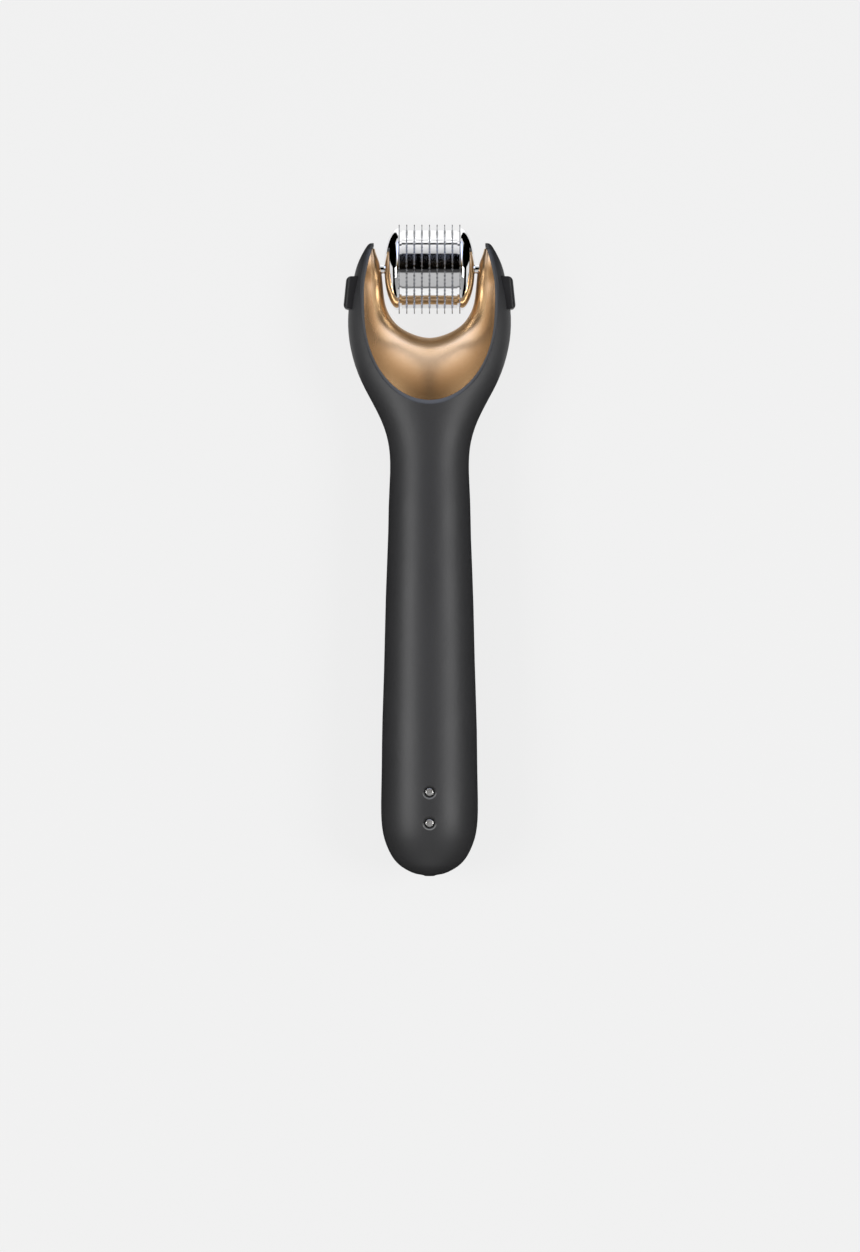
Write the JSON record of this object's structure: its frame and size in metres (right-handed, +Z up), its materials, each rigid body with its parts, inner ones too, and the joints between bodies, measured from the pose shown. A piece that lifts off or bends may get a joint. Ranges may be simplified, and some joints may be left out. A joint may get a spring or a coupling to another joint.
{
  "type": "derma roller",
  "caption": "Rechargeable microneedle roller: dark forked handle with a rose-gold saddle, spinning chrome needle drum, side release buttons and rear charging contacts.",
  "frame": {"origin": "centre of the bounding box in X and Y, at its lowest face: the device lies flat with its rear side up, resting on the needle tips and on the widest part of the butt", "axes": "+Y along the handle from the butt to the roller, +Z up out of the rear side with the charging contacts, +X to the right seen from the rear"},
  "size_m": [0.0466, 0.1758, 0.024],
  "materials": {
    "casing": "soft-touch matt charcoal coating on moulded plastic",
    "rose_gold": "glossy rose-gold plating on moulded plastic",
    "black_button": "satin black moulded plastic",
    "chrome": "mirror chrome plating",
    "drum_metal": "mirror chrome plating on ring",
    "needle_steel": "fine stamped stainless steel",
    "spring_steel": "bright stainless steel",
    "nickel": "nickel-plated contact metal",
    "white_plastic": "natural white moulded plastic",
    "battery_wrap": "shrink wrap over a steel cell",
    "motor_can": "drawn steel can",
    "weight_metal": "heavy sintered metal",
    "seal_rubber": "soft silicone rubber",
    "circuit_board": "green solder mask on glass epoxy",
    "chip_black": "moulded epoxy package",
    "clear_plastic": "clear polycarbonate",
    "wire_insulation": "extruded insulation"
  },
  "bodies": {
    "handle": {"rear_shell": "casing", "front_shell": "casing", "saddle": "rose_gold", "left_pivot_pin": "spring_steel", "right_pivot_pin": "spring_steel", "left_spring": "spring_steel", "right_spring": "spring_steel", "key_switch": "chip_black", "light_pipe": "clear_plastic", "status_led": "clear_plastic", "inner_frame": "white_plastic", "frame_screws": "spring_steel", "battery": "battery_wrap", "battery_tabs": "nickel", "battery_pad": "seal_rubber", "main_board": "circuit_board", "control_chip": "chip_black", "charge_chip": "chip_black", "charge_board": "circuit_board", "charge_board_screws": "spring_steel", "charge_contact_low": "nickel", "charge_contact_high": "nickel", "contact_seals": "seal_rubber", "charge_leads": "wire_insulation", "motor_leads": "wire_insulation", "motor": "motor_can", "motor_sleeve": "seal_rubber"},
    "roller": {"hub": "white_plastic", "needle_disc_1": "needle_steel", "needle_disc_2": "needle_steel", "needle_disc_3": "needle_steel", "needle_disc_4": "needle_steel", "needle_disc_5": "needle_steel", "needle_disc_6": "needle_steel", "needle_disc_7": "needle_steel", "needle_disc_8": "needle_steel", "needle_disc_9": "needle_steel", "spacer_1": "drum_metal", "spacer_2": "drum_metal", "spacer_3": "drum_metal", "spacer_4": "drum_metal", "spacer_5": "drum_metal", "spacer_6": "drum_metal", "spacer_7": "drum_metal", "spacer_8": "drum_metal", "left_end_cap": "chrome", "right_end_cap": "chrome"},
    "left_release_button": {"left_release_button": "black_button"},
    "right_release_button": {"right_release_button": "black_button"},
    "left_lever": {"left_lever": "spring_steel"},
    "right_lever": {"right_lever": "spring_steel"},
    "left_lock_pin": {"left_lock_pin": "chrome"},
    "right_lock_pin": {"right_lock_pin": "chrome"},
    "power_button": {"power_button": "black_button", "switch_stem": "white_plastic"},
    "motor_rotor": {"motor_shaft": "spring_steel", "eccentric_weight": "weight_metal"}
  },
  "joints": [
    {"name": "roller_spin", "type": "hinge", "parent": "handle", "child": "roller", "pos_m": [0, 0.07587, 0.012], "axis": [1, 0, 0], "continuous": true},
    {"name": "right_release_press", "type": "slide", "parent": "handle", "child": "right_release_button", "axis": [-1, 0, 0], "range_m": [0, 0.0013], "stiffness_N_per_m": 900, "springref_m": -0.0006},
    {"name": "left_release_press", "type": "slide", "parent": "handle", "child": "left_release_button", "axis": [1, 0, 0], "range_m": [0, 0.0013], "stiffness_N_per_m": 900, "springref_m": -0.0006},
    {"name": "right_lever_turn", "type": "hinge", "parent": "handle", "child": "right_lever", "pos_m": [0.0152, 0.07264, 0.012], "axis": [0, 0, -1], "range_deg": [0, 23.5]},
    {"name": "left_lever_turn", "type": "hinge", "parent": "handle", "child": "left_lever", "pos_m": [-0.0152, 0.07264, 0.012], "axis": [0, 0, 1], "range_deg": [0, 23.5]},
    {"name": "right_lock_pin_slide", "type": "slide", "parent": "handle", "child": "right_lock_pin", "axis": [1, 0, 0], "range_m": [0, 0.0013], "deforming": ["right_spring"]},
    {"name": "left_lock_pin_slide", "type": "slide", "parent": "handle", "child": "left_lock_pin", "axis": [-1, 0, 0], "range_m": [0, 0.0013], "deforming": ["left_spring"]},
    {"name": "power_press", "type": "slide", "parent": "handle", "child": "power_button", "axis": [0, 0, 1], "range_m": [0, 0.0004], "stiffness_N_per_m": 2500, "springref_m": -0.0002},
    {"name": "motor_spin", "type": "hinge", "parent": "handle", "child": "motor_rotor", "pos_m": [0, 0.02914, 0.014], "axis": [0, 1, 0], "continuous": true}
  ],
  "couplings": [
    {"joint": "right_lever_turn", "follows": "right_release_press", "rad_per_m": 312.5},
    {"joint": "right_lock_pin_slide", "follows": "right_release_press", "ratio": 1},
    {"joint": "left_lever_turn", "follows": "left_release_press", "rad_per_m": 312.5},
    {"joint": "left_lock_pin_slide", "follows": "left_release_press", "ratio": 1}
  ]
}
